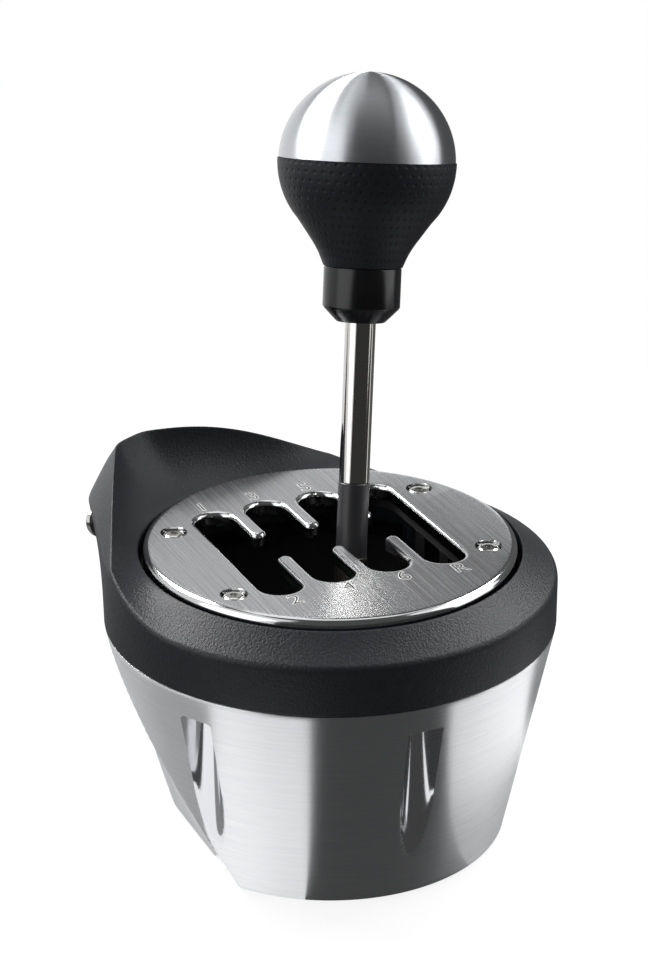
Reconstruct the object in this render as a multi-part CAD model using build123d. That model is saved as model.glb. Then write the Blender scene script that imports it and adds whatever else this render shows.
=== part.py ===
from build123d import *
from math import acos, atan, atan2, cos, degrees, exp, hypot, log, pi, radians, sin, tan
import os

os.makedirs("parts", exist_ok=True)

# Heights of the stack, from the face it stands on up to the gate
mat_thick = 1.2
base_thick = 4.0
body_height = 92.0
collar_height = 23.5
casing_top = body_height - collar_height

# Fits between pieces
press_gap = 0.02
run_gap = 0.05
slip_gap = 0.2
loose_gap = 0.5
thread_gap = 0.05
cut_over = 2.0

# Lower casing: a round cone in front that flattens into a narrow tail
casing_wall = 2.5
rim_radius = 66.8
rim_flank_angle = 50.4
rim_flank = rim_radius
tail_reach = 4.2
rim_rear = rim_radius + tail_reach
casing_draw = 14.1
foot_radius = rim_radius - casing_draw
foot_flank_angle = 30.0
flank_cut = 10.2
foot_flank = foot_radius - flank_cut
rear_cut = 8.7
foot_rear = foot_radius - rear_cut
tail_round = 6.0
front_half_angle = 60.0
casing_soft_edge = 0.6

# Flutes, the screw channels that run up the casing
flute_radius = 5.0
flute_sink = 10.6
flute_depth_radius = rim_radius - flute_sink
flute_roof = 9.0
flute_top = casing_top - flute_roof
flute_screw_inset = 0.5
flute_angles = (-150.0 + 30.0, -90.0 + 30.0, 180.0, 0.0)

# Base plate, mat and the screws that close the casing
base_edge_gap = 0.5
base_boss_radius = 4.5
base_boss_height = 11.0
base_boss_inset = 7.4
base_boss_spot = foot_radius - base_boss_inset
base_boss_angle = 45.0
base_boss_tail_x = 16.0
base_boss_tail_inset = 7.0
base_boss_tail_y = foot_rear - base_boss_tail_inset
rig_pitch_x = 56.0
rig_pitch_y = 32.0
rig_shift = 2.0
rig_thread_radius = 3.0
mat_hole_gap = 1.2

# Screws by size: thread radius, head radius, head height
m3 = 1.5
m3_head = 2.75
m3_head_height = 1.8
m4 = 2.0
m4_head = 3.8
m4_head_height = 2.2
m5 = 2.5
m5_head = 4.75
m5_head_height = 3.0
hex_share = 0.55
socket_depth_share = 0.6
casing_screw_bite = 10.0
plate_screw_bite = 10.0
base_screw_bite = 8.0
pillar_screw_bite = 9.0

# Top housing: a collar round the gate that grows into a swept hood
collar_width = 9.3
collar_bore = rim_radius - collar_width
collar_lip_drop = 2.75
crease_inset = 0.7
crease_radius = rim_radius - crease_inset
crease_drop = 8.5
crease_edge_drop = 1.2
hood_rise = 23.0
hood_start_angle = 5.0
hood_full_angle = 80.0
crest_angle = 52.0
crest_inset = 2.6
crest_distance = crease_radius - crest_inset
hood_flank_angle = 43.6
hood_flank = rim_radius
hood_overhang = 7.0
hood_rear = rim_rear + hood_overhang
crest_setback = 2.5
crest_rear = hood_rear - crest_setback
facet_slope_share = 1.48
inner_sag_share = 0.10
collar_sag = 0.25
corner_blend = 1.0
hood_stations = 21
hood_loft_start = 10.0
shelf_width = 14.0
shelf_bore = collar_bore - shelf_width
shelf_thick = 4.0
gate_boss_radius = 4.6
gate_boss_depth = 12.0
gate_boss_count = 6

# Gate plate
plate_gap = 2.5
plate_radius = collar_bore - plate_gap
plate_thick = 5.0
plate_round = 2.4
screw_inset = 8.7
screw_circle = plate_radius - screw_inset
gate_turn = 30.0
column_pitch = 17.2
slot_half = 6.2
slot_edge = 1.0
inner_front = 33.2
inner_back = 26.9
outer_step = 1.6
outer_front = inner_front - outer_step
outer_back = inner_back + outer_step
neutral_front = 11.5
neutral_back = 4.2
finger_tip = column_pitch / 2 - slot_half - slip_gap

# Liner ring under the plate
liner_thick = 3.0
liner_inset = 0.6
liner_radius = plate_radius - liner_inset
liner_window_edge = 1.6
liner_window_x = 1.5 * column_pitch + slot_half + liner_window_edge
liner_window_front_edge = 1.4
liner_window_front = inner_front + liner_window_front_edge
liner_window_back_edge = 1.9
liner_window_back = outer_back + liner_window_back_edge
liner_corner = 9.0

# Pivot of the lever, below and behind the gate centre
pivot_rise = 28.0
pivot_drop = body_height - pivot_rise
pivot_back = 9.6
rest_right = 7.96
rest_forward = 12.0

# Cradle, the fixed frame that hangs from the plate on four pillars
bridge_low = 20.0
bridge_thick = 4.0
bridge_bar_half = 10.0
bridge_corner = 5.0
pillar_radius = 3.25
pillar_side_gap = 4.5
pillar_x = 1.5 * column_pitch + slot_half + pillar_side_gap
pillar_front = 11.0
pillar_back = 5.0
pillar_edge = 4.2
pillar_stud = 1.5
pillar_stud_depth = 3.0
lug_thick = 8.0
lug_half = 8.0
lug_gap = 0.6
sensor_window = 9.0

# Select yoke, which swings the lever from column to column
hub_radius = 8.5
hub_half = 7.5
hub_gap = 0.6
yoke_wall = 6.0
yoke_end = 9.0
yoke_half_height = 6.0
yoke_round = 3.0
yoke_window_gap = 1.0
select_pin_radius = 3.0
shift_axle_radius = 2.5
bush_wall = 1.2
pin_out = 7.0
spring_gap = 0.3
spring_wall = 1.5
spring_length = 4.6
clip_wall = 2.0
clip_thick = 0.8
detent_radius = 1.6
detent_offset = 5.4
detent_spring_length = 3.4
detent_land = 0.08
detent_notch = 1.5
gear_swing = 16.0

# Lever, measured along its axis from the pivot
foot_length = 14.5
foot_stem_radius = 4.4
magnet_radius = 3.0
magnet_length = 3.0
holder_radius = 4.9
holder_below_plate = 6.5
holder_top = pivot_drop - holder_below_plate
holder_bore_depth = 14.0
sleeve_radius = 4.6
sleeve_above_plate = 16.0
sleeve_top = pivot_drop + sleeve_above_plate
shaft_radius = 4.5
spigot_radius = 3.0
shaft_show = 47.5
collar_low = sleeve_top + shaft_show
collar_chamfer = 4.2
collar_low_radius = 7.4
knob_collar_radius = 11.35
knob_collar_length = 12.0
shaft_in_collar = 6.0
stud_radius = 3.5
insert_radius = 7.0
neck_radius = 12.2
neck_mid_radius = 13.9
neck_mid = 5.0
knob_radius = 26.0
neck_rise = 20.5
knob_centre = collar_low + neck_rise + knob_radius
flare_drop_share = 0.6923
flare_drop = knob_radius * flare_drop_share
cap_step = 0.4
cap_radius = knob_radius - cap_step
insert_length = knob_radius
stud_past = 8.0
stud_length = knob_radius + stud_past
joint_groove = 0.5
cap_spigot_share = 0.46
cap_spigot_radius = knob_radius * cap_spigot_share
cap_spigot_length = 4.0
shank_soft_edge = 0.5

# Sensor board under the cradle
sensor_board_x = 24.0
sensor_board_y = 20.0
board_thick = 1.6
chip_side = 4.0
chip_thick = 1.1

# Rear panel on the sloping tail, its board and sockets
panel_drop = 32.5
panel_height = casing_top - panel_drop
panel_half_x = 17.0
panel_half_y = 25.0
panel_thick = 2.4
panel_corner = 4.0
panel_hole_x = 11.0
panel_hole_y = 20.0
panel_screw_x = 14.0
panel_screw_y = 21.8
panel_screw_head = 3.8
panel_screw_head_height = 3.0
post_radius = 2.0
post_x = 8.8
post_y = 17.8
post_pilot = 1.0
board_depth = 11.4
board_half_x = 13.0
board_half_y = 21.0
board_screw_head = 1.9
board_screw_head_height = 1.2
usb_x = 12.0
usb_y = 11.0
usb_low = 12.5
usb_mouth_x = 8.5
usb_mouth_y = 7.8
usb_tongue_x = 5.7
usb_tongue_y = 3.2
usb_depth = 9.0
round_socket_radius = 6.5
round_socket_up = 0.5
round_mouth_radius = 4.6
round_depth = 8.0
contact_radius = 0.5
contact_circle = 3.0
contact_count = 6
button_x = 4.5
button_up = 12.5
button_radius = 3.0
button_flange = 3.9
button_flange_thick = 1.0
button_proud = 1.2
button_travel = 0.8
button_stem = 1.5
switch_side = 6.0
switch_height = 4.0
lens_radius = 1.5
lens_proud = 0.3

# Two bolts in the back of the hood
hood_bolt_x = 13.0
hood_bolt_drop = 9.0
hood_bolt_height = body_height - hood_bolt_drop
hood_bolt_bite = 12.0
washer_radius = 5.4
washer_thick = 2.0

BASE = (Align.CENTER, Align.CENTER, Align.MIN)


# Small shapes used by every piece
def rod(radius, low, high, x=0, y=0):
    return Pos(x, y, low) * Cylinder(radius, high - low, align=BASE)


def block(x0, x1, y0, y1, z0, z1):
    return Pos(x0, y0, z0) * Box(x1 - x0, y1 - y0, z1 - z0, align=Align.MIN)


def tube(outer, inner, low, high, x=0, y=0):
    return rod(outer, low, high, x, y) - rod(inner, low - cut_over, high + cut_over, x, y)


def polar(radius, angle):
    return radius * cos(radians(angle)), radius * sin(radians(angle))


def screw(thread, head, head_height, length, socket=True):
    body = rod(thread, -length, 0) + rod(head, 0, head_height)
    body = fillet(body.faces().sort_by(Axis.Z)[-1].edges(), head_height / 2)
    if socket:
        depth = head_height * socket_depth_share
        key = extrude(Pos(0, 0, head_height) * RegularPolygon(head * hex_share, 6), -depth)
        body -= key
    return body


# Frames: the gate is turned in its housing, the mechanism hangs at the pivot
gate_frame = Pos(0, 0, body_height) * Rot(0, 0, -gate_turn)
pivot_frame = gate_frame * Pos(0, -pivot_back, -pivot_drop)
yoke_frame = pivot_frame * Rot(0, rest_right, 0)
lever_frame = yoke_frame * Rot(-rest_forward, 0, 0)
casing_low = mat_thick
tail_slope = degrees(atan((rim_rear - foot_rear) / (casing_top - casing_low)))
panel_share = (panel_height - casing_low) / (casing_top - casing_low)
panel_y = foot_rear + (rim_rear - foot_rear) * panel_share
panel_out = (0, cos(radians(tail_slope)), -sin(radians(tail_slope)))
panel_frame = Location(Plane(origin=(0, panel_y, panel_height), x_dir=(-1, 0, 0), z_dir=panel_out))


# Plan outline of the casing: round front, flat flanks, straight tail
def casing_outline(radius, angle, flank, rear, round_radius, level):
    meet = angle - degrees(acos(min(1, flank / radius)))
    corner_x = (flank - rear * sin(radians(angle))) / cos(radians(angle))
    front = -90 + front_half_angle
    right_meet = polar(radius, meet)
    right_front = polar(radius, front)
    right_mid = polar(radius, (meet + front) / 2)
    edges = [
        ThreePointArc((-right_front[0], right_front[1]), (0, -radius), right_front),
        ThreePointArc(right_front, right_mid, right_meet),
        Line(right_meet, (corner_x, rear)),
        Line((corner_x, rear), (-corner_x, rear)),
        Line((-corner_x, rear), (-right_meet[0], right_meet[1])),
        ThreePointArc(
            (-right_meet[0], right_meet[1]),
            (-right_mid[0], right_mid[1]),
            (-right_front[0], right_front[1]),
        ),
    ]
    face = make_face(Wire(edges).edges())
    corners = [v for v in face.vertices() if abs(v.Y - rear) < round_radius]
    return Pos(0, 0, level) * fillet(corners, round_radius)


def casing_block(inset, low, high):
    slope = (high - casing_low) / (casing_top - casing_low), (low - casing_low) / (casing_top - casing_low)
    faces = []
    for level, share in ((low, slope[1]), (high, slope[0])):
        faces.append(casing_outline(
            foot_radius - inset + (rim_radius - foot_radius) * share,
            foot_flank_angle + (rim_flank_angle - foot_flank_angle) * share,
            foot_flank - inset + (rim_flank - foot_flank) * share,
            foot_rear - inset + (rim_rear - foot_rear) * share,
            tail_round - inset / 2, level))
    return loft(faces, ruled=True)


def flute_slot(radius, low, high):
    axis_radius = flute_depth_radius + flute_radius
    slot = rod(radius, low, high, axis_radius)
    slot += block(axis_radius, rim_radius + flute_radius, -radius, radius, low, high)
    return slot


def base_boss_spots():
    x, y = polar(base_boss_spot, -base_boss_angle)
    return ((x, y), (-x, y), (base_boss_tail_x, base_boss_tail_y), (-base_boss_tail_x, base_boss_tail_y))


base_top = casing_low + base_thick
flute_screw_circle = flute_depth_radius + flute_radius - flute_screw_inset
flute_screw_seat = flute_top + m3_head_height + slip_gap


def lower_casing():
    outer = casing_block(0, casing_low, casing_top)
    inner = casing_block(casing_wall, casing_low, casing_top)
    shell = outer - inner
    bosses = []
    for angle in flute_angles:
        bosses.append(Rot(0, 0, angle) * flute_slot(flute_radius + casing_wall, casing_low, casing_top))
    for x, y in base_boss_spots():
        away = degrees(atan2(y, x)) if y < 0 else 90
        post = rod(base_boss_radius, base_top, base_top + base_boss_height)
        post += block(0, casing_wall * 4, -base_boss_radius, base_boss_radius,
                      base_top, base_top + base_boss_height)
        bosses.append(Pos(x, y, 0) * Rot(0, 0, away) * post)
    keep_out = casing_block(casing_wall, casing_low, base_top)
    for boss in bosses:
        shell += (boss & outer) - keep_out
    for angle in flute_angles:
        shell -= Rot(0, 0, angle) * flute_slot(flute_radius, -cut_over, flute_top)
        spot = polar(flute_screw_circle, angle)
        shell -= rod(m3 + slip_gap, flute_top - cut_over, casing_top + cut_over, *spot)
        shell -= rod(m3_head + slip_gap, flute_top - cut_over, flute_screw_seat, *spot)
    for x, y in base_boss_spots():
        shell -= rod(m3 + thread_gap, base_top - cut_over, base_top + base_screw_bite + thread_gap, x, y)
    window = Box(2 * panel_hole_x, 2 * panel_hole_y, casing_wall * 4)
    shell -= panel_frame * window
    for x in (-panel_screw_x, panel_screw_x):
        for y in (-panel_screw_y, panel_screw_y):
            shell -= panel_frame * (Pos(x, y, 0) * Cylinder(m3 + thread_gap, casing_wall * 4))
    return shell


# Radial outline rules of the collar and hood
def soft_least(a, b):
    return -corner_blend * log(exp((min(a, b) - a) / corner_blend) + exp((min(a, b) - b) / corner_blend)) + min(a, b)


def wall_radius(angle, flank_angle, flank, rear, radius):
    if angle <= flank_angle:
        side = radius
    else:
        side = flank / cos(radians(angle - flank_angle))
    if angle <= 2 * flank_angle - 90 + front_half_angle / 2:
        return side
    return soft_least(side, rear / sin(radians(angle)))


def crest_radius(angle):
    line_start = crest_angle - degrees(acos(crest_distance / crease_radius))
    if angle <= line_start:
        return crease_radius
    return soft_least(crest_distance / cos(radians(angle - crest_angle)), crest_rear / sin(radians(angle)))


def crest_height(angle):
    ramp = (angle - hood_start_angle) / (hood_full_angle - hood_start_angle)
    ramp = min(1, max(0, ramp))
    return hood_rise * (1 - cos(pi * ramp)) / 2 - crease_drop


def hood_section(angle, low):
    crest_r = crest_radius(angle)
    crest_z = crest_height(angle)
    wall_r = wall_radius(angle, hood_flank_angle, hood_flank, hood_rear, rim_radius)
    foot_r = wall_radius(angle, rim_flank_angle, rim_flank, rim_rear, rim_radius)
    drop = max(crease_edge_drop, facet_slope_share * (wall_r - crest_r))
    run = crest_r - collar_bore
    climb = crest_z + collar_lip_drop
    length = hypot(run, climb)
    growth = (crest_z + crease_drop) / hood_rise
    sag = collar_sag + inner_sag_share * length * growth
    mid_r = collar_bore + run / 2 + sag * climb / length
    mid_z = -collar_lip_drop + climb / 2 - sag * run / length
    edges = [
        ThreePointArc((collar_bore, -collar_lip_drop), (mid_r, mid_z), (crest_r, crest_z)),
        Line((crest_r, crest_z), (wall_r, crest_z - drop)),
        Line((wall_r, crest_z - drop), (foot_r, low)),
        Line((foot_r, low), (collar_bore, low)),
        Line((collar_bore, low), (collar_bore, -collar_lip_drop)),
    ]
    face = make_face(Wire(edges).edges())
    return Rot(0, 0, angle) * (Rot(90, 0, 0) * face)


def top_housing():
    low = casing_top - body_height
    front = Rot(0, 0, 0) * revolve(hood_section(-90, low), Axis.Z, 90 + hood_loft_start)
    step = (90 - hood_loft_start) / (hood_stations - 1)
    sections = [hood_section(hood_loft_start + step * i, low) for i in range(hood_stations)]
    side = loft(sections, ruled=True)
    half = front + side
    shelf_low = -plate_thick - liner_thick - shelf_thick
    ring = tube(collar_bore + loose_gap, shelf_bore, shelf_low, shelf_low + shelf_thick)
    body = half + mirror(half, Plane.YZ) + ring
    shelf_high = shelf_low + shelf_thick
    for i in range(gate_boss_count):
        x, y = polar(screw_circle, 360 / gate_boss_count * i - gate_turn + 30)
        body += rod(gate_boss_radius, shelf_high - gate_boss_depth, shelf_high, x, y)
    for i in range(gate_boss_count):
        x, y = polar(screw_circle, 360 / gate_boss_count * i - gate_turn + 30)
        body -= rod(m4 + thread_gap, shelf_high - gate_boss_depth - cut_over, shelf_high + cut_over, x, y)
    for angle in flute_angles:
        x, y = polar(flute_screw_circle, angle)
        body -= rod(m3 + thread_gap, low - cut_over, low + casing_screw_bite + thread_gap, x, y)
    body = Pos(0, 0, body_height) * body
    for spot in hood_bolt_frames():
        body -= spot * rod(m5 + thread_gap, -hood_bolt_bite - thread_gap, cut_over)
        body -= spot * rod(washer_radius + slip_gap, 0, washer_thick + cut_over)
    return body


def hood_bolt_frames():
    angle = degrees(atan2(rim_rear, hood_bolt_x))
    wall_r = wall_radius(angle, hood_flank_angle, hood_flank, hood_rear, rim_radius)
    foot_r = wall_radius(angle, rim_flank_angle, rim_flank, rim_rear, rim_radius)
    drop = max(crease_edge_drop, facet_slope_share * (wall_r - crest_radius(angle)))
    wall_top = body_height + crest_height(angle) - drop
    rise = (wall_r - foot_r) * sin(radians(angle))
    slope = atan2(rise, wall_top - casing_top)
    back_y = foot_r * sin(radians(angle)) + tan(slope) * (hood_bolt_height - casing_top)
    out = (0, cos(slope), -sin(slope))
    return [Location(Plane(origin=(x, back_y, hood_bolt_height), x_dir=(-1, 0, 0), z_dir=out))
            for x in (-hood_bolt_x, hood_bolt_x)]


# Gate pattern: seven gears and reverse on four columns
def gate_slots():
    pattern = Pos(0, (neutral_front - neutral_back) / 2) * Rectangle(
        3 * column_pitch + 2 * slot_half, neutral_front + neutral_back)
    for i, (front, back) in enumerate(((outer_front, outer_back), (inner_front, inner_back),
                                       (inner_front, inner_back), (outer_front, outer_back))):
        x = (i - 1.5) * column_pitch
        column = Pos(x, (front - back) / 2) * RectangleRounded(
            2 * slot_half, front + back, slot_half - slip_gap)
        pattern += column
    inner_half = 1.5 * column_pitch
    tips = [v for v in pattern.vertices()
            if abs(v.X) < inner_half and (abs(v.Y - neutral_front) < slip_gap or abs(v.Y + neutral_back) < slip_gap)]
    return fillet(tips, finger_tip)


def plate_screw_spots():
    return [polar(screw_circle, angle) for angle in (30, 150, 210, 330)]


def pillar_spots():
    return [(x, y) for x in (-pillar_x, pillar_x) for y in (-pillar_back, pillar_front)]


def gate_plate():
    plate = rod(plate_radius, -plate_thick, 0)
    plate = fillet(plate.faces().sort_by(Axis.Z)[-1].edges(), plate_round)
    cut = extrude(Pos(0, 0, -plate_thick - cut_over) * gate_slots(), plate_thick + 2 * cut_over)
    plate -= cut
    top = plate.faces().filter_by(Plane.XY).sort_by(Axis.Z)[-1]
    plate = fillet(top.inner_wires().edges(), slot_edge)
    for x, y in plate_screw_spots():
        plate -= rod(m4 + slip_gap, -plate_thick - cut_over, cut_over, x, y)
        plate -= rod(m4_head + slip_gap, -m4_head_height - slip_gap, cut_over, x, y)
    for x, y in pillar_spots():
        plate -= rod(pillar_stud + thread_gap, -plate_thick - cut_over,
                     -plate_thick + pillar_stud_depth + thread_gap, x, y)
    return gate_frame * plate


def gate_liner():
    high = -plate_thick
    low = high - liner_thick
    ring = rod(liner_radius, low, high)
    window = Pos(0, (liner_window_front - liner_window_back) / 2, low - cut_over) * RectangleRounded(
        2 * liner_window_x, liner_window_front + liner_window_back, liner_corner)
    ring -= extrude(window, liner_thick + 2 * cut_over)
    for x, y in plate_screw_spots():
        ring -= rod(m4 + slip_gap, low - cut_over, high + cut_over, x, y)
    for x, y in pillar_spots():
        ring -= rod(pillar_stud + slip_gap, low - cut_over, high + cut_over, x, y)
    return gate_frame * ring


def plate_screws():
    length = plate_thick - m4_head_height - slip_gap + liner_thick + plate_screw_bite
    one = screw(m4, m4_head, m4_head_height, length)
    return [gate_frame * Pos(x, y, -m4_head_height - slip_gap) * one for x, y in plate_screw_spots()]


def casing_screws():
    length = casing_top - flute_screw_seat + casing_screw_bite
    one = screw(m3, m3_head, m3_head_height, length)
    spots = [polar(flute_screw_circle, angle) for angle in flute_angles]
    return [Pos(x, y, flute_screw_seat) * Rot(180, 0, 0) * one for x, y in spots]


# Base pieces
def rig_spots():
    return [(x, y - rig_shift) for x in (-rig_pitch_x / 2, rig_pitch_x / 2)
            for y in (-rig_pitch_y / 2, rig_pitch_y / 2)]


def base_outline(level):
    inset = casing_wall + base_edge_gap
    return casing_outline(foot_radius - inset, foot_flank_angle, foot_flank - inset,
                          foot_rear - inset, tail_round - inset / 2, level)


def base_plate():
    plate = extrude(base_outline(casing_low), base_thick)
    for x, y in base_boss_spots():
        plate -= rod(m3 + slip_gap, 0, base_top + cut_over, x, y)
        plate -= rod(m3_head + slip_gap, 0, casing_low + m3_head_height + slip_gap, x, y)
    for x, y in rig_spots():
        plate -= rod(rig_thread_radius, 0, base_top + cut_over, x, y)
    return plate


def base_mat():
    mat = extrude(base_outline(0), mat_thick)
    for x, y in base_boss_spots():
        mat -= rod(m3_head + mat_hole_gap, -cut_over, mat_thick + cut_over, x, y)
    for x, y in rig_spots():
        mat -= rod(rig_thread_radius + mat_hole_gap, -cut_over, mat_thick + cut_over, x, y)
    return mat


def base_screws():
    length = base_thick - m3_head_height - slip_gap + base_screw_bite
    one = screw(m3, m3_head, m3_head_height, length)
    return [Pos(x, y, casing_low + m3_head_height + slip_gap) * Rot(180, 0, 0) * one
            for x, y in base_boss_spots()]


# Cradle, pillars and fixed bearings
yoke_end_y = hub_radius + yoke_window_gap + yoke_end
lug_in = yoke_end_y + lug_gap
lug_out = lug_in + lug_thick
bridge_top = bridge_thick - bridge_low


def cradle():
    bar = Rectangle(2 * bridge_bar_half, 2 * lug_out)
    cross_y = pivot_back + (pillar_front - pillar_back) / 2
    cross = Pos(0, cross_y) * Rectangle(
        2 * (pillar_x + pillar_edge), pillar_front + pillar_back + 2 * pillar_edge)
    outline = bar + cross
    far_x = [v for v in outline.vertices() if abs(v.X) > bridge_bar_half + loose_gap]
    outline = fillet(far_x, bridge_corner - loose_gap)
    body = extrude(Pos(0, 0, -bridge_low) * outline, bridge_thick)
    for side in (-1, 1):
        lug = block(-lug_half, lug_half, 0, lug_thick, -bridge_low, 0)
        lug += Rot(-90, 0, 0) * rod(lug_half, 0, lug_thick)
        lug -= Rot(-90, 0, 0) * rod(select_pin_radius + run_gap + bush_wall + press_gap,
                                    -cut_over, lug_thick + cut_over)
        body += Pos(0, side * (lug_in + lug_thick / 2) - lug_thick / 2, 0) * lug
    body -= block(-sensor_window / 2, sensor_window / 2, -sensor_window / 2, sensor_window / 2,
                  -bridge_low - cut_over, bridge_top + cut_over)
    for x, y in pillar_spots():
        body -= rod(m3 + slip_gap, -bridge_low - cut_over, bridge_top + cut_over, x, y + pivot_back)
    return pivot_frame * body


def along_y(shape):
    return Rot(-90, 0, 0) * shape


def cradle_bushes():
    inner = select_pin_radius + run_gap
    bush = along_y(tube(inner + bush_wall, inner, lug_in, lug_out))
    return [pivot_frame * bush, pivot_frame * (Rot(0, 0, 180) * bush)]


def unit_pillars():
    low = bridge_top
    high = pivot_drop - plate_thick - liner_thick
    pillar = extrude(Pos(0, 0, low) * RegularPolygon(pillar_radius, 6), high - low)
    pillar += rod(pillar_stud, high, high + liner_thick + pillar_stud_depth)
    pillar -= rod(m3 + thread_gap, low - cut_over, low + pillar_screw_bite + thread_gap)
    return [pivot_frame * Pos(x, y + pivot_back, 0) * pillar for x, y in pillar_spots()]


def pillar_screws():
    one = screw(m3, m3_head, m3_head_height, bridge_thick + pillar_screw_bite)
    return [pivot_frame * Pos(x, y + pivot_back, -bridge_low) * Rot(180, 0, 0) * one
            for x, y in pillar_spots()]


def centring_springs():
    inner = select_pin_radius + spring_gap
    coil = along_y(tube(inner + spring_wall, inner, lug_out + spring_gap, lug_out + spring_gap + spring_length))
    return [pivot_frame * coil, pivot_frame * (Rot(0, 0, 180) * coil)]


# Yoke and what it carries
def yoke():
    half_x = hub_half + hub_gap + yoke_wall
    body = extrude(Pos(0, 0, -yoke_half_height) * RectangleRounded(
        2 * half_x, 2 * yoke_end_y, yoke_round), 2 * yoke_half_height)
    window_x = hub_half + hub_gap
    window_y = hub_radius + yoke_window_gap
    body -= block(-window_x, window_x, -window_y, window_y, -yoke_half_height - cut_over,
                  yoke_half_height + cut_over)
    body -= along_y(rod(select_pin_radius + press_gap, -yoke_end_y - cut_over, yoke_end_y + cut_over))
    bore = shift_axle_radius + run_gap + bush_wall + press_gap
    body -= Rot(0, 90, 0) * rod(bore, -half_x - cut_over, half_x + cut_over)
    for x in (-detent_offset, detent_offset):
        body -= Pos(x, 0, 0) * along_y(rod(detent_radius + run_gap, -yoke_end_y - cut_over, 0))
    return yoke_frame * body


def select_pins():
    start = hub_radius + yoke_window_gap + loose_gap
    pin = along_y(rod(select_pin_radius, start, lug_out + pin_out))
    pin = chamfer(pin.edges().group_by(Axis.Y)[-1], shank_soft_edge)
    return [yoke_frame * pin, yoke_frame * (Rot(0, 0, 180) * pin)]


def axle_clips():
    start = lug_out + 2 * spring_gap + spring_length
    ring = along_y(tube(select_pin_radius + clip_wall, select_pin_radius + press_gap, start, start + clip_thick))
    return [yoke_frame * ring, yoke_frame * (Rot(0, 0, 180) * ring)]


def yoke_bushes():
    inner = shift_axle_radius + run_gap
    start = hub_half + hub_gap
    bush = Rot(0, 90, 0) * tube(inner + bush_wall, inner, start, start + yoke_wall)
    return [yoke_frame * bush, yoke_frame * (Rot(0, 0, 180) * bush)]


def detent_places():
    return [yoke_frame * Pos(x, -hub_radius - detent_land, 0) * Rot(90, 0, 0)
            for x in (-detent_offset, detent_offset)]


def detent_balls():
    return [place * (Pos(0, 0, detent_radius) * Sphere(detent_radius)) for place in detent_places()]


def detent_springs():
    start = 2 * detent_radius + press_gap
    coil = tube(detent_radius - slip_gap, detent_radius / 2, start, start + detent_spring_length)
    return [place * coil for place in detent_places()]


def detent_plugs():
    start = 2 * detent_radius + 2 * press_gap + detent_spring_length
    end = yoke_end_y - hub_radius - detent_land
    plug = rod(detent_radius, start, end)
    plug -= extrude(Pos(0, 0, end) * RegularPolygon(detent_radius * hex_share, 6), -(end - start) / 2)
    return [place * plug for place in detent_places()]


# Lever pieces along their own axis
def lever_holder():
    body = Rot(0, 90, 0) * rod(hub_radius, -hub_half, hub_half)
    body += rod(holder_radius, 0, holder_top)
    body += rod(foot_stem_radius, -foot_length, 0)
    body -= Rot(0, 90, 0) * rod(shift_axle_radius + press_gap, -hub_half - cut_over, hub_half + cut_over)
    body -= rod(spigot_radius + press_gap, holder_top - holder_bore_depth, holder_top + cut_over)
    body -= rod(magnet_radius + press_gap, -foot_length - cut_over, magnet_length - foot_length)
    for angle in (rest_forward - gear_swing, rest_forward, rest_forward + gear_swing):
        groove = rod(detent_notch, -hub_half - cut_over, hub_half + cut_over)
        body -= Rot(angle, 0, 0) * Pos(0, -hub_radius - detent_notch / 2, 0) * Rot(0, 90, 0) * groove
    return lever_frame * body


def shift_axle():
    half = hub_half + hub_gap + yoke_wall
    return lever_frame * (Rot(0, 90, 0) * rod(shift_axle_radius, -half, half))


def magnet():
    return lever_frame * rod(magnet_radius, -foot_length, magnet_length - foot_length)


def lever_sleeve():
    body = tube(sleeve_radius, spigot_radius + press_gap, holder_top, sleeve_top)
    return lever_frame * body


def lever_shaft():
    top = collar_low + shaft_in_collar
    body = rod(spigot_radius, holder_top - holder_bore_depth + loose_gap, sleeve_top)
    body += rod(shaft_radius, sleeve_top, top)
    body += rod(stud_radius, top, top + stud_length)
    return lever_frame * body


def turned_profile(points):
    return revolve(Rot(90, 0, 0) * make_face(Polyline(*points, close=True)), Axis.Z, 360)


collar_high = collar_low + collar_chamfer + knob_collar_length


def knob_collar():
    body = turned_profile([
        (0, collar_low), (collar_low_radius, collar_low),
        (knob_collar_radius, collar_low + collar_chamfer),
        (knob_collar_radius, collar_high), (0, collar_high)])
    body = chamfer(body.edges().group_by(Axis.Z)[-1], shank_soft_edge)
    body -= rod(shaft_radius + press_gap, collar_low - cut_over, collar_low + shaft_in_collar + press_gap)
    body -= rod(stud_radius + press_gap, collar_low, collar_high + cut_over)
    return lever_frame * body


def knob_insert():
    body = tube(insert_radius, stud_radius + press_gap, collar_high, collar_high + insert_length)
    return lever_frame * body


def sphere_radius_at(height):
    return (knob_radius ** 2 - (height - knob_centre) ** 2) ** 0.5


def knob_grip():
    flare = knob_centre - flare_drop
    lip = knob_radius - joint_groove
    shoulder = (sphere_radius_at(knob_centre - joint_groove), knob_centre - joint_groove)
    edges = [
        Line((0, collar_high), (neck_radius, collar_high)),
        ThreePointArc((neck_radius, collar_high), (neck_mid_radius, collar_high + neck_mid),
                      (sphere_radius_at(flare), flare)),
        ThreePointArc((sphere_radius_at(flare), flare),
                      (knob_radius * cos(radians(20)), knob_centre - knob_radius * sin(radians(20))),
                      shoulder),
        Line(shoulder, (lip, knob_centre)),
        Line((lip, knob_centre), (0, knob_centre)),
        Line((0, knob_centre), (0, collar_high)),
    ]
    body = revolve(Rot(90, 0, 0) * make_face(Wire(edges).edges()), Axis.Z, 360)
    body -= rod(insert_radius + press_gap, collar_high - cut_over, collar_high + insert_length + press_gap)
    body -= rod(cap_spigot_radius + slip_gap, knob_centre - cap_spigot_length - slip_gap, knob_centre + cut_over)
    return lever_frame * body


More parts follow.
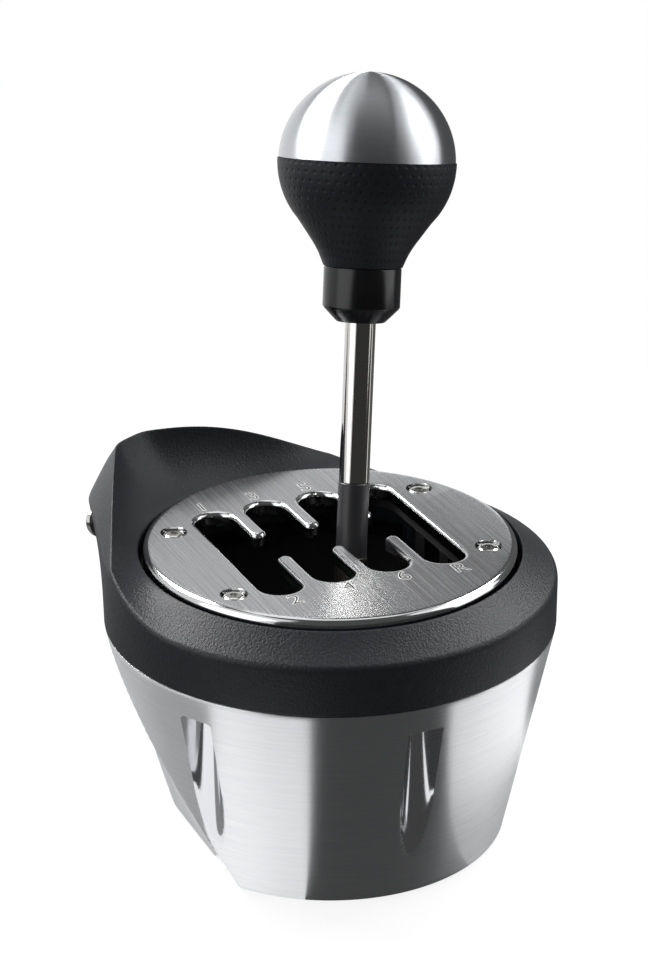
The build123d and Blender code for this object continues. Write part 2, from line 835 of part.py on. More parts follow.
def knob_cap():
    lip = cap_radius - joint_groove
    start = ((cap_radius ** 2 - joint_groove ** 2) ** 0.5, knob_centre + joint_groove)
    top = (0, knob_centre + cap_radius)
    edges = [
        Line((0, knob_centre), (lip, knob_centre)),
        Line((lip, knob_centre), start),
        ThreePointArc(start, (cap_radius * cos(radians(50)), knob_centre + cap_radius * sin(radians(50))), top),
        Line(top, (0, knob_centre)),
    ]
    body = revolve(Rot(90, 0, 0) * make_face(Wire(edges).edges()), Axis.Z, 360)
    body += rod(cap_spigot_radius, knob_centre - cap_spigot_length, knob_centre)
    return lever_frame * body


# Sensor under the lever's foot
def sensor_board():
    high = -bridge_low
    board = block(-sensor_board_x / 2, sensor_board_x / 2, -sensor_board_y / 2, sensor_board_y / 2,
                  high - board_thick, high)
    return pivot_frame * board


def hall_sensor():
    half = chip_side / 2
    return pivot_frame * block(-half, half, -half, half, -bridge_low, chip_thick - bridge_low)


# Rear panel and its board, in the panel's own frame
def rear_panel():
    plate = extrude(RectangleRounded(2 * panel_half_x, 2 * panel_half_y, panel_corner), panel_thick)
    plate = fillet(plate.faces().sort_by(Axis.Z)[-1].edges(), panel_thick / 3)
    for x in (-post_x, post_x):
        for y in (-post_y, post_y):
            plate += rod(post_radius, -board_depth, loose_gap, x, y)
            plate -= rod(post_pilot, -board_depth - cut_over, -board_depth / 2, x, y)
    for x in (-panel_screw_x, panel_screw_x):
        for y in (-panel_screw_y, panel_screw_y):
            plate -= rod(m3 + slip_gap, -cut_over, panel_thick + cut_over, x, y)
    plate -= Pos(0, -usb_low, 0) * Box(usb_x + 2 * slip_gap, usb_y + 2 * slip_gap, 4 * panel_thick)
    plate -= rod(round_socket_radius + slip_gap, -cut_over, panel_thick + cut_over, 0, round_socket_up)
    plate -= rod(button_radius + slip_gap, -cut_over, panel_thick + cut_over, -button_x, button_up)
    plate -= rod(lens_radius + run_gap, -cut_over, panel_thick + cut_over, button_x, button_up)
    return panel_frame * plate


def panel_screws():
    one = screw(m3, panel_screw_head, panel_screw_head_height, panel_thick + casing_wall)
    return [panel_frame * Pos(x, y, panel_thick) * one
            for x in (-panel_screw_x, panel_screw_x) for y in (-panel_screw_y, panel_screw_y)]


def main_board():
    board = block(-board_half_x, board_half_x, -board_half_y, board_half_y,
                  -board_depth - board_thick, -board_depth)
    for x in (-post_x, post_x):
        for y in (-post_y, post_y):
            board -= rod(post_pilot + slip_gap, -board_depth - board_thick - cut_over, 0, x, y)
    return panel_frame * board


def board_screws():
    back = -board_depth - board_thick
    one = rod(post_pilot - thread_gap, 0, board_depth / 2) + rod(board_screw_head, -board_screw_head_height, 0)
    return [panel_frame * Pos(x, y, back) * one for x in (-post_x, post_x) for y in (-post_y, post_y)]


def usb_socket():
    half_x = usb_x / 2
    half_y = usb_y / 2
    body = block(-half_x, half_x, -half_y, half_y, -board_depth, panel_thick - slip_gap)
    mouth = Pos(0, 0, panel_thick - slip_gap) * RectangleRounded(usb_mouth_x, usb_mouth_y, loose_gap)
    body -= extrude(mouth, -usb_depth)
    body += block(-usb_tongue_x / 2, usb_tongue_x / 2, -usb_tongue_y / 2, usb_tongue_y / 2,
                  panel_thick - slip_gap - usb_depth, panel_thick - 2 * slip_gap - cut_over / 2)
    return panel_frame * Pos(0, -usb_low, 0) * body


def round_socket():
    high = panel_thick - slip_gap
    body = rod(round_socket_radius, -board_depth, high)
    body -= rod(round_mouth_radius, high - round_depth, high + cut_over)
    for i in range(contact_count):
        x, y = polar(contact_circle, 360 / contact_count * i)
        body += rod(contact_radius, high - round_depth, high - cut_over, x, y)
    return panel_frame * Pos(0, round_socket_up, 0) * body


def mode_button():
    rest_low = -board_depth + switch_height + button_travel + spring_gap
    body = rod(button_radius, -button_flange_thick, panel_thick + button_proud)
    body = fillet(body.edges().group_by(Axis.Z)[-1], shank_soft_edge)
    body += rod(button_flange, -button_flange_thick - run_gap, -run_gap)
    body += rod(button_stem, rest_low, 0)
    return panel_frame * Pos(-button_x, button_up, 0) * body


def mode_switch():
    half = switch_side / 2
    body = block(-half, half, -half, half, -board_depth, -board_depth + switch_height)
    return panel_frame * Pos(-button_x, button_up, 0) * body


def status_lens():
    body = rod(lens_radius, -board_depth, panel_thick + lens_proud)
    return panel_frame * Pos(button_x, button_up, 0) * body


def hood_bolts():
    one = Pos(0, 0, washer_thick) * screw(m5, m5_head, m5_head_height, washer_thick + hood_bolt_bite)
    return [spot * one for spot in hood_bolt_frames()]


def hood_washers():
    ring = tube(washer_radius, m5 + slip_gap, 0, washer_thick)
    return [spot * ring for spot in hood_bolt_frames()]


nodes = {
    "lower_casing": lower_casing,
    "top_housing": top_housing,
    "gate_plate": gate_plate,
    "gate_liner": gate_liner,
    "plate_screws": plate_screws,
    "casing_screws": casing_screws,
    "base_plate": base_plate,
    "base_mat": base_mat,
    "base_screws": base_screws,
    "pivot_cradle": cradle,
    "cradle_bushes": cradle_bushes,
    "unit_pillars": unit_pillars,
    "pillar_screws": pillar_screws,
    "centring_springs": centring_springs,
    "select_yoke": yoke,
    "select_pins": select_pins,
    "axle_clips": axle_clips,
    "yoke_bushes": yoke_bushes,
    "detent_balls": detent_balls,
    "detent_springs": detent_springs,
    "detent_plugs": detent_plugs,
    "lever_holder": lever_holder,
    "shift_axle": shift_axle,
    "lever_magnet": magnet,
    "lever_sleeve": lever_sleeve,
    "lever_shaft": lever_shaft,
    "knob_collar": knob_collar,
    "knob_insert": knob_insert,
    "knob_grip": knob_grip,
    "knob_cap": knob_cap,
    "sensor_board": sensor_board,
    "hall_sensor": hall_sensor,
    "rear_panel": rear_panel,
    "panel_screws": panel_screws,
    "main_board": main_board,
    "board_screws": board_screws,
    "usb_socket": usb_socket,
    "round_socket": round_socket,
    "mode_button": mode_button,
    "mode_switch": mode_switch,
    "status_lens": status_lens,
    "hood_bolts": hood_bolts,
    "hood_washers": hood_washers,
}

for name, make in nodes.items():
    shape = make()
    if isinstance(shape, list):
        shape = Compound(children=shape)
    export_step(shape, f"parts/{name}.step")
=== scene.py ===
from math import acos, atan, atan2, cos, degrees, exp, hypot, log, pi, radians, sin, sqrt, tan

import bmesh
import bpy
from mathutils import Matrix, Vector


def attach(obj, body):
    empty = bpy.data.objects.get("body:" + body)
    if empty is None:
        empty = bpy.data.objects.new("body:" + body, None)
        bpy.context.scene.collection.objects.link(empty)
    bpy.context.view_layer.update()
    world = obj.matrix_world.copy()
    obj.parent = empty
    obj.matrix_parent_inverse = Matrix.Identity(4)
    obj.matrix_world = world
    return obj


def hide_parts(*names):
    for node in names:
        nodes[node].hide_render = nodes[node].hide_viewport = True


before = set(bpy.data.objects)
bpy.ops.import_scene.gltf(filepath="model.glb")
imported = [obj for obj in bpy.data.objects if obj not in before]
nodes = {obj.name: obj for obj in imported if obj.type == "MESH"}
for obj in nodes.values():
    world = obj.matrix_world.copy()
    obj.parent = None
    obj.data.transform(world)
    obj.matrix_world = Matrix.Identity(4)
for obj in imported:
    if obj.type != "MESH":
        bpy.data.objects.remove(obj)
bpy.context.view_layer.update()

MM = 0.001


# Base mat: a sheet of non-slip rubber under the steel base, die cut, with
# holes for the base screws and the rig screws. Its edge just shows below
# the casing.
def linear(code):
    channels = [int(code[i:i + 2], 16) / 255 for i in (1, 3, 5)]
    return tuple(c / 12.92 if c <= 0.04045 else ((c + 0.055) / 1.055) ** 2.4
                 for c in channels) + (1,)


def add(owner, kind, wires=None, **settings):
    node = owner.node_tree.nodes.new("ShaderNode" + kind)
    for name, value in settings.items():
        setattr(node, name, value)
    for socket, value in (wires or {}).items():
        if isinstance(value, bpy.types.NodeSocket):
            owner.node_tree.links.new(value, node.inputs[socket])
        else:
            node.inputs[socket].default_value = value
    return node


def wire(owner, output, node, socket):
    owner.node_tree.links.new(output, node.inputs[socket])


def new_material(name, colour, roughness, metallic=0.0, **extra):
    material = bpy.data.materials.new(name)
    material.use_nodes = True
    shader = material.node_tree.nodes["Principled BSDF"]
    shader.inputs["Base Color"].default_value = linear(colour)
    shader.inputs["Roughness"].default_value = roughness
    shader.inputs["Metallic"].default_value = metallic
    for socket, value in extra.items():
        shader.inputs[socket.replace("_", " ")].default_value = value
    return material, shader


def grained(name, colour, roughness, metallic, grain_mm, depth_mm,
            tones=None, strength=0.5, **extra):
    material, shader = new_material(name, colour, roughness, metallic, **extra)
    coord = add(material, "TexCoord")
    noise = add(material, "TexNoise", {"Vector": coord.outputs["Object"],
                                       "Scale": 1 / (grain_mm * MM),
                                       "Detail": 3.0, "Roughness": 0.6})
    bump = add(material, "Bump", {"Height": noise.outputs["Fac"],
                                  "Distance": depth_mm * MM, "Strength": strength})
    wire(material, bump.outputs["Normal"], shader, "Normal")
    if tones:
        mix = add(material, "MixRGB", {"Fac": noise.outputs["Fac"], "Color1": linear(tones[0]),
                                       "Color2": linear(tones[1])})
        wire(material, mix.outputs["Color"], shader, "Base Color")
    return material


def dress(material, *node_names):
    for name in node_names:
        for place in nodes[name].material_slots:
            place.link = "OBJECT"
            place.material = material


# Moulded nitrile rubber: dead black, with a fine pebble and no shine.
dress(grained("nitrile_rubber_mat", "#161616", 0.85, 0.0, 0.9, 0.15), "base_mat")

# Base plate and its screws: 4 mm steel with a black powder coat, tapped for
# four M6 rig screws, closed onto the casing's bosses with black oxide screws.
# Powder coat: a dark satin skin with a faint orange peel.
dress(grained("powder_coated_steel", "#1B1B1C", 0.55, 0.0, 0.5, 0.04), "base_plate")
# Black oxide on steel: blue-black, with the dull shine of oil.
black_oxide = grained("black_oxide_steel", "#17171A", 0.35, 0.6, 0.4, 0.01)
dress(black_oxide, "base_screws", "casing_screws")

# Lower casing: cast aluminium, turned and brushed round its axis, then
# cleared. It is a cone in front that flattens to a narrow tail, with four
# screw flutes milled upright into its wall and the edges left bright.
casing_low, casing_top = 1.2, 68.5
casing_wall, casing_edge = 2.5, 0.7
# The front's radius, the flank's angle and distance, and the tail's
# distance, at the foot and at the rim.
foot_form = (52.7, 30.0, 42.5, 44.0)
rim_form = (66.8, 50.4, 66.8, 71.0)
tail_start, tail_blend, edge_on = 40, 2.2, 0.2
flute_angles = (-120, -60, 180, 0)
flute_radius, flute_bottom, flute_top = 5.0, 56.2, 59.5
flute_axis = flute_bottom + flute_radius
flute_sector, flute_margin, flute_runout, flute_blend = 20, 1.5, 12, 0.35


def soft_least(a, b, blend):
    low = min(a, b)
    return low - blend * log(exp((low - a) / blend) + exp((low - b) / blend))


def turn_between(a, b):
    return (a - b + 180) % 360 - 180


def angle_from_side(angle):
    return 90 - abs(turn_between(angle, 90))


def casing_radius(angle, z):
    share = (z - casing_low) / (casing_top - casing_low)
    radius, flank_angle, flank, rear = (a + (b - a) * share
                                        for a, b in zip(foot_form, rim_form))
    from_side = angle_from_side(angle)
    side = cos(radians(from_side - flank_angle))
    result = radius
    meet = flank_angle - degrees(acos(min(1, flank / radius)))
    if from_side > meet and side > edge_on:
        result = min(radius, flank / side)
        if from_side > flank_angle:
            result = flank / side
    if from_side > tail_start:
        result = soft_least(result, rear / sin(radians(from_side)), tail_blend)
    return result


def fluted(radius, angle, z, inset):
    half = flute_radius + inset
    for flute in flute_angles:
        turn = radians(turn_between(angle, flute))
        if abs(turn) > radians(flute_sector):
            continue
        ahead, aside = radius * cos(turn), abs(radius * sin(turn))
        if aside >= half + flute_margin or z > flute_top + flute_margin + inset:
            continue
        depth = flute_axis - sqrt(max(0, half * half - aside * aside))
        over = max(aside - half, 0) + max(z - flute_top - inset, 0)
        ahead = soft_least(ahead, depth + over * flute_runout, flute_blend)
        radius = ahead / cos(turn)
    return radius


def ring_angles(coarse, fine, half_width, centres):
    angles = [i * coarse for i in range(int(360 / coarse))]
    angles = [a for a in angles
              if all(abs(turn_between(a, centre)) > half_width for centre in centres)]
    for centre in centres:
        count = int(2 * half_width / fine)
        angles += [(centre - half_width + i * fine) % 360 for i in range(count + 1)]
    return sorted(set(round(a, 4) for a in angles))


def closed_ring(row_count, angles, move):
    # A plain ring is spun first, then each point goes to the place that
    # move gives for its row and angle.
    start_radius = 100
    bm = bmesh.new()
    row = bm.verts.layers.int.new("row")
    verts = [bm.verts.new(((start_radius + i) * MM, 0, i * MM)) for i in range(row_count)]
    edges = [bm.edges.new(pair) for pair in zip(verts, verts[1:] + verts[:1])]
    for i, vert in enumerate(verts):
        vert[row] = i
    bmesh.ops.spin(bm, geom=verts + edges, axis=(0, 0, 1), cent=(0, 0, 0),
                   angle=2 * pi, steps=len(angles), use_merge=True)
    step = 360 / len(angles)
    for vert in bm.verts:
        turn = degrees(atan2(vert.co.y, vert.co.x)) % 360
        angle = angles[int(round(turn / step)) % len(angles)]
        radius, z = move(vert[row], angle)
        vert.co = (radius * cos(radians(angle)) * MM, radius * sin(radians(angle)) * MM, z * MM)
    bmesh.ops.recalc_face_normals(bm, faces=bm.faces)
    return bm


def mesh_from(name, bm):
    mesh = bpy.data.meshes.new(name)
    bm.to_mesh(mesh)
    bm.free()
    return mesh


def put_in_scene(name, data):
    obj = bpy.data.objects.new(name, data)
    bpy.context.scene.collection.objects.link(obj)
    return obj


def finished_mesh(obj):
    graph = bpy.context.evaluated_depsgraph_get()
    return bpy.data.meshes.new_from_object(obj.evaluated_get(graph))


def piece(name, bm, material, body, stands_for=(), sharp=30):
    mesh = mesh_from(name, bm)
    mesh.shade_smooth()
    mesh.set_sharp_from_angle(angle=radians(sharp))
    mesh.materials.append(material)
    obj = put_in_scene(name, mesh)
    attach(obj, body)
    if stands_for:
        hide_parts(*stands_for)
    return obj


def carve(obj, cutter_bm, operation="DIFFERENCE"):
    cutter = put_in_scene("cutter", mesh_from("cutter", cutter_bm))
    modifier = obj.modifiers.new("carve", "BOOLEAN")
    modifier.object, modifier.operation, modifier.solver = cutter, operation, "EXACT"
    result = finished_mesh(obj)
    obj.modifiers.clear()
    obj.data = result
    bpy.data.objects.remove(cutter)


def on_circle(radius, angle, z=0.0):
    angle = radians(angle)
    return Matrix.Translation((radius * cos(angle) * MM, radius * sin(angle) * MM, z * MM))


def rod(bm, radius, low, high, place=Matrix(), segments=32):
    middle = place @ Matrix.Translation((0, 0, (low + high) / 2 * MM))
    bmesh.ops.create_cone(bm, cap_ends=True, segments=segments, radius1=radius * MM,
                          radius2=radius * MM, depth=(high - low) * MM, matrix=middle)


def facing_back(x, y, z, slope):
    out = Vector((0, cos(slope), -sin(slope)))
    across = Vector((-1, 0, 0))
    turn = Matrix((across, out.cross(across), out)).transposed().to_4x4()
    return Matrix.Translation((x * MM, y * MM, z * MM)) @ turn


def brushed(name, tones, roughness, line_mm, along_mm, depth_mm, gloss_spread,
            place=Matrix(), lines="round"):
    material, shader = new_material(name, tones[0], roughness, 1.0, Anisotropic=gloss_spread)
    line_scale = 1 / (line_mm * MM)
    streak_radius = 50
    coord = add(material, "TexCoord")
    local = add(material, "Mapping", {"Vector": coord.outputs["Object"],
                                      "Location": tuple(place.translation),
                                      "Rotation": tuple(place.to_euler())},
                vector_type="TEXTURE")
    if lines == "round":
        split = add(material, "SeparateXYZ", {"Vector": local.outputs["Vector"]})
        angle = add(material, "Math", {0: split.outputs["Y"], 1: split.outputs["X"]},
                    operation="ARCTAN2")
        flat = add(material, "CombineXYZ", {"X": split.outputs["X"], "Y": split.outputs["Y"]})
        out = add(material, "VectorMath", {0: flat.outputs["Vector"]}, operation="LENGTH")
        arc = add(material, "Math", {0: angle.outputs[0], 1: streak_radius / along_mm},
                  operation="MULTIPLY")
        rise = add(material, "Math", {0: split.outputs["Z"], 1: line_scale},
                   operation="MULTIPLY")
        ring = add(material, "Math", {0: out.outputs["Value"], 1: line_scale},
                   operation="MULTIPLY")
        streaks = add(material, "CombineXYZ", {"X": ring.outputs[0], "Y": arc.outputs[0],
                                               "Z": rise.outputs[0]})
        across = place.to_3x3() @ Vector((0, 0, 1))
    else:
        streaks = add(material, "Mapping", {"Vector": local.outputs["Vector"],
                                            "Scale": (line_scale, 1 / (along_mm * MM),
                                                      line_scale)})
        across = place.to_3x3() @ Vector((1, 0, 0))
    noise = add(material, "TexNoise", {"Vector": streaks.outputs["Vector"], "Scale": 1.0,
                                       "Detail": 4.0, "Roughness": 0.65})
    bump = add(material, "Bump", {"Height": noise.outputs["Fac"],
                                  "Distance": depth_mm * MM, "Strength": 0.6})
    wire(material, bump.outputs["Normal"], shader, "Normal")
    mix = add(material, "MixRGB", {"Fac": noise.outputs["Fac"], "Color1": linear(tones[0]),
                                   "Color2": linear(tones[1])})
    wire(material, mix.outputs["Color"], shader, "Base Color")
    spread = add(material, "MapRange", {"Value": noise.outputs["Fac"],
                                        "To Min": roughness - 0.06, "To Max": roughness + 0.08})
    wire(material, spread.outputs["Result"], shader, "Roughness")
    # The gloss spreads across the brushing, so the tangent is worked out
    # from the line direction and the surface.
    normal = coord.outputs["Normal"]
    side = add(material, "VectorMath", {0: normal, 1: tuple(across)},
               operation="CROSS_PRODUCT").outputs["Vector"]
    pair = (normal, side) if lines == "round" else (side, normal)
    side = add(material, "VectorMath", {0: pair[0], 1: pair[1]}, operation="CROSS_PRODUCT")
    tangent = add(material, "VectorTransform", {"Vector": side.outputs["Vector"]},
                  vector_type="VECTOR", convert_from="OBJECT", convert_to="WORLD")
    wire(material, tangent.outputs["Vector"], shader, "Tangent")
    return material


# Brushed cast aluminium: pale, with lines round the body that draw each
# light out into an upright band. The lines are 0.1 mm on a real one and are
# drawn at 0.35 mm, so that they show.
aluminium = brushed("brushed_aluminium", ("#D6D9DD", "#FAFBFC"), 0.32, 0.35, 16.0, 0.016, 0.9)
# Milled and buffed aluminium: small clear mirrors in the flutes.
polished_alu = grained("polished_aluminium", "#E2E3E6", 0.14, 1.0, 2.0, 0.006)
# Aluminium left as cast: dull dark grey and pitted, inside only.
as_cast = grained("as_cast_aluminium", "#3C3C3E", 0.75, 0.4, 1.2, 0.10)

fine_band, fine_rise, coarse_rise, edge_bulge = 2.2, 0.3, 1.6, 0.3 * casing_edge
levels = [casing_low + casing_edge]
while levels[-1] < casing_top - casing_edge:
    near = abs(levels[-1] - flute_top) < fine_band
    levels.append(min(levels[-1] + (fine_rise if near else coarse_rise),
                      casing_top - casing_edge))
outer_rows = [(casing_edge, casing_low), (edge_bulge, casing_low + edge_bulge)]
outer_rows += [(0, z) for z in levels]
outer_rows += [(edge_bulge, casing_top - edge_bulge), (casing_edge, casing_top)]
inner_rows = [(casing_wall, z) for z in [casing_top] + levels[::-2] + [casing_low]]
casing_rows = outer_rows + inner_rows


def casing_point(row, angle):
    inset, z = casing_rows[row]
    radius = casing_radius(angle, z) - inset
    deep = casing_wall if row >= len(outer_rows) else 0
    return fluted(radius, angle, z, deep), z


casing_angles = ring_angles(coarse=1.5, fine=0.3, half_width=7.5, centres=flute_angles)
casing_bm = closed_ring(len(casing_rows), casing_angles, casing_point)

post_radius, post_low, post_high, post_circle, post_turn = 4.5, 5.2, 16.2, 45.3, -45
front_post = on_circle(post_circle, post_turn).translation
tail_post = Vector((16.0, 37.0, 0)) * MM
for side in (1, -1):
    for post in (front_post, tail_post):
        rod(casing_bm, post_radius, post_low, post_high,
            Matrix.Translation((side * post.x, post.y, 0)))
casing = piece("casing", casing_bm, aluminium, "housing", ["lower_casing"], 40)

screw_circle, screw_hole, screw_counterbore, screw_seat = 60.7, 1.7, 2.95, 61.5
for angle in flute_angles:
    for radius, high in ((screw_hole, casing_top + 1), (screw_counterbore, screw_seat)):
        drill = bmesh.new()
        rod(drill, radius, flute_top - 1, high, on_circle(screw_circle, angle), 48)
        carve(casing, drill)

panel_height, panel_window = 36.0, Vector((22, 40, 12))
panel_share = (panel_height - casing_low) / (casing_top - casing_low)
panel_y = foot_form[3] + (rim_form[3] - foot_form[3]) * panel_share
panel_slope = atan((rim_form[3] - foot_form[3]) / (casing_top - casing_low))
window = bmesh.new()
bmesh.ops.create_cube(window, size=1.0)
bmesh.ops.scale(window, vec=panel_window * MM, verts=window.verts)
bmesh.ops.transform(window, matrix=facing_back(0, panel_y, panel_height, panel_slope),
                    verts=window.verts)
carve(casing, window)

casing.data.materials.append(polished_alu)
casing.data.materials.append(as_cast)
milled_depth, inside_depth, inward_lean = 0.12, casing_wall - 0.6, 0.3
for face in casing.data.polygons:
    spot = face.center / MM
    angle, reach = degrees(atan2(spot.y, spot.x)), hypot(spot.x, spot.y)
    depth = casing_radius(angle, min(max(spot.z, casing_low), casing_top)) - reach
    turns = [radians(turn_between(angle, flute)) for flute in flute_angles]
    beside = min(abs(reach * sin(turn)) if abs(turn) < 1 else reach for turn in turns)
    if beside < flute_radius + 1 and depth > milled_depth and spot.z < flute_top + 1:
        face.material_index = 1
    inward = face.normal.x * spot.x + face.normal.y * spot.y < -inward_lean * reach
    if inward and depth > inside_depth:
        face.material_index = 2

# Top housing: black ABS, injection moulded with a fine spark-eroded grain.
# The collar round the gate grows into a hood at the back; its crest is a
# crisp but rounded line between the hollow inner slope and the outer facet.
body_height = 92.0
collar_bore, lip_drop = 56.2, 2.0
crease_radius, crease_drop, crease_edge = 66.1, 8.5, 1.2
hood_rise, hood_start, hood_full = 23.0, 5.0, 80.0
crest_angle, crest_distance, crest_rear, crest_opening = 52.0, 63.5, 75.5, 3
hood_flank_angle, hood_flank, hood_rear = 43.6, 66.8, 78.0
facet_slope, rear_start, corner_blend = 1.48, 30, 1.0
slope_steps, sag_least, sag_share = 9, 0.25, 0.10
lip_round, crest_round, facet_round, foot_round = 0.8, 0.9, 1.1, 0.5


def wall_radius(angle, flank_angle, flank, rear):
    side = rim_form[0] if angle <= flank_angle else flank / cos(radians(angle - flank_angle))
    return side if angle < rear_start else soft_least(side, rear / sin(radians(angle)),
                                                      corner_blend)


def crest_point(angle):
    start = crest_angle - degrees(acos(crest_distance / crease_radius))
    radius = crease_radius
    if angle > start:
        radius = soft_least(crest_distance / cos(radians(angle - crest_angle)),
                            crest_rear / sin(radians(angle)), corner_blend)
        radius = min(radius, crease_radius + (angle - start) * crest_opening)
    ramp = min(1, max(0, (angle - hood_start) / (hood_full - hood_start)))
    return radius, hood_rise * (1 - cos(pi * ramp)) / 2 - crease_drop


def rounded_corner(before, corner, after, size, most=0.45):
    a, b, c = Vector(before), Vector(corner), Vector(after)
    first = b + (a - b).normalized() * min(size, (a - b).length * most)
    last = b + (c - b).normalized() * min(size, (c - b).length * most)
    return [first.lerp(b, t).lerp(b.lerp(last, t), t) for t in (0, 0.25, 0.5, 0.75, 1)]


def facet_points(angle):
    crest_r, crest_z = crest_point(angle)
    wall_r = wall_radius(angle, hood_flank_angle, hood_flank, hood_rear)
    foot_r = wall_radius(angle, *rim_form[1:])
    drop = max(crease_edge, facet_slope * (wall_r - crest_r))
    return (crest_r, crest_z), (wall_r, crest_z - drop), (foot_r, casing_top - body_height)


def hood_profile(angle):
    crest, wall, foot = facet_points(angle)
    bore_foot = (collar_bore, foot[1])
    run, climb = crest[0] - collar_bore, crest[1] + lip_drop
    length = hypot(run, climb)
    sag = sag_least + sag_share * length * (crest[1] + crease_drop) / hood_rise
    slope = []
    for i in range(slope_steps + 1):
        t = i / slope_steps
        dip = 4 * sag * t * (1 - t)
        slope.append((collar_bore + run * t + dip * climb / length,
                      -lip_drop + climb * t - dip * run / length))
    return ([bore_foot] + rounded_corner(bore_foot, slope[0], slope[1], lip_round)
            + slope[1:-1] + rounded_corner(slope[-2], slope[-1], wall, crest_round)
            + rounded_corner(crest, wall, foot, facet_round)
            + rounded_corner(wall, foot, bore_foot, foot_round))


def hood_point(row, angle):
    radius, z = hood_profile(angle_from_side(angle))[row]
    return radius, z + body_height


# Grained black ABS: near black and a little blue, soft in shine, with a
# leathery grain that catches side light. The real grain is about 0.3 mm and
# is drawn at 0.75 mm, so that it shows.
abs_black = grained("grained_black_abs", "#11141A", 0.42, 0.0, 0.75, 0.20,
                    ("#090B0E", "#181B21"), 1.0, Specular_IOR_Level=0.27)
hood_bm = closed_ring(len(hood_profile(0)), [float(i) for i in range(360)], hood_point)
hood = piece("hood", hood_bm, abs_black, "housing", ["top_housing"], 50)


def turned(profile, steps=128, place=None):
    bm = bmesh.new()
    verts = [bm.verts.new((r * MM, 0, z * MM)) for r, z in profile]
    edges = [bm.edges.new(pair) for pair in zip(verts, verts[1:])]
    bmesh.ops.spin(bm, geom=verts + edges, axis=(0, 0, 1), cent=(0, 0, 0),
                   angle=2 * pi, steps=steps, use_merge=True)
    bmesh.ops.remove_doubles(bm, verts=bm.verts, dist=0.001 * MM)
    bmesh.ops.recalc_face_normals(bm, faces=bm.faces)
    if place:
        bmesh.ops.transform(bm, matrix=place, verts=bm.verts)
    return bm


shelf_bore, shelf_rim = 43.5, 57.8
shelf_low, shelf_high = body_height - 12.0, body_height - 8.0
shelf = turned([(shelf_bore, shelf_low), (shelf_bore, shelf_high), (shelf_rim, shelf_high),
                (shelf_rim, shelf_low), (shelf_bore, shelf_low)])
boss_radius, boss_deep, boss_circle, boss_sunk = 4.6, 12.0, 46.3, 0.01
for i in range(6):
    rod(shelf, boss_radius, shelf_high - boss_deep - boss_sunk, shelf_high - boss_sunk,
        on_circle(boss_circle, 60 * i))
piece("hood_shelf", shelf, abs_black, "housing")

# Gate liner: a ring of dense black rubber between the plate and the shelf,
# die cut, that takes the knock of the lever.
# Dense rubber: flat black that lets the slots read as deep.
dress(grained("gate_liner_rubber", "#101011", 0.7, 0.0, 0.8, 0.05), "gate_liner")

# Gimbal under the gate: steel pillars and cradle, a machined yoke, bronze
# bushes and hardened pins. It is seen only as a dim shape through the slots.
# Phosphated steel: dark and dull, as the real coat is, and painted darker still, near black, as
# painted shade for the dark inside under the gate, so that hardly a glint shows inside.
dress(grained("phosphated_steel_painted_shade", "#111113", 0.6, 0.2, 0.5, 0.01),
      "pivot_cradle", "unit_pillars", "select_yoke", "select_pins", "shift_axle",
      "centring_springs", "detent_balls", "detent_springs", "board_screws")
dress(black_oxide, "pillar_screws", "axle_clips", "detent_plugs")
# Sintered bronze: brown gold and matt, from its pores and oil.
dress(grained("sintered_bronze", "#8A6A3C", 0.5, 1.0, 0.3, 0.02),
      "cradle_bushes", "yoke_bushes")

# Boards, sockets and panel: green glass fibre boards, black chips and
# switches, a plated shell on the square socket and a black moulding on the
# round one, behind a moulded panel on the tail.
# Solder mask on glass fibre: deep green under a gloss.
dress(grained("solder_mask_board", "#0E3B22", 0.35, 0.0, 1.2, 0.02),
      "sensor_board", "main_board")
# Moulded epoxy: black with a low even shine.
dress(grained("moulded_epoxy", "#121213", 0.4, 0.0, 0.3, 0.02),
      "hall_sensor", "mode_switch", "round_socket", "mode_button")
# Tin plate: a soft silvery shine.
dress(grained("tin_plated_shell", "#B9B8B2", 0.3, 1.0, 0.6, 0.01),
      "usb_socket", "lever_magnet")
# Clear acrylic over a white light: pale and glossy.
dress(grained("clear_acrylic_lens", "#D8E0E0", 0.12, 0.0, 2.0, 0.01), "status_lens")
# Panel moulding: black, with an even fine grain and a soft shine.
dress(grained("panel_black_abs", "#18191B", 0.5, 0.0, 0.5, 0.06), "rear_panel")
dress(black_oxide, "panel_screws")

# Gate plate: 5 mm stainless plate, laser cut and brushed along the gear
# lanes, with the rim and the slot edges buffed bright. It is cut as a flat
# outline with rounded edges and then trimmed to the rounded disc.
plate_radius, plate_thick, plate_round = 55.0, 5.0, 2.4
pitch, slot_half, slot_edge, slot_edge_steps = 17.2, 6.2, 1.5, 5
slot_ends = ((31.6, 28.5), (33.2, 26.9), (33.2, 26.9), (31.6, 28.5))
finger_front, finger_back = 11.5, 4.2
gate_turn = radians(-30)
gate_place = Matrix.Translation((0, 0, body_height * MM)) @ Matrix.Rotation(gate_turn, 4, "Z")


def part_circle(x, y, radius, start, end, steps=12):
    angles = [radians(start + (end - start) * i / steps) for i in range(steps + 1)]
    return [(x + radius * cos(a), y + radius * sin(a)) for a in angles]


def lane_middle(column):
    return (column - 1.5) * pitch


def gate_outline():
    front, back = [], []
    tip = pitch / 2 - slot_half
    for column, (far, near) in enumerate(slot_ends):
        x = lane_middle(column)
        front += part_circle(x, far - slot_half, slot_half, 180, 0)
        back += part_circle(x, slot_half - near, slot_half, 180, 360)
        if column < len(slot_ends) - 1:
            front += part_circle(x + pitch / 2, finger_front + tip, tip, 180, 360)
            back += part_circle(x + pitch / 2, -finger_back - tip, tip, 180, 0)
    return front + back[::-1]


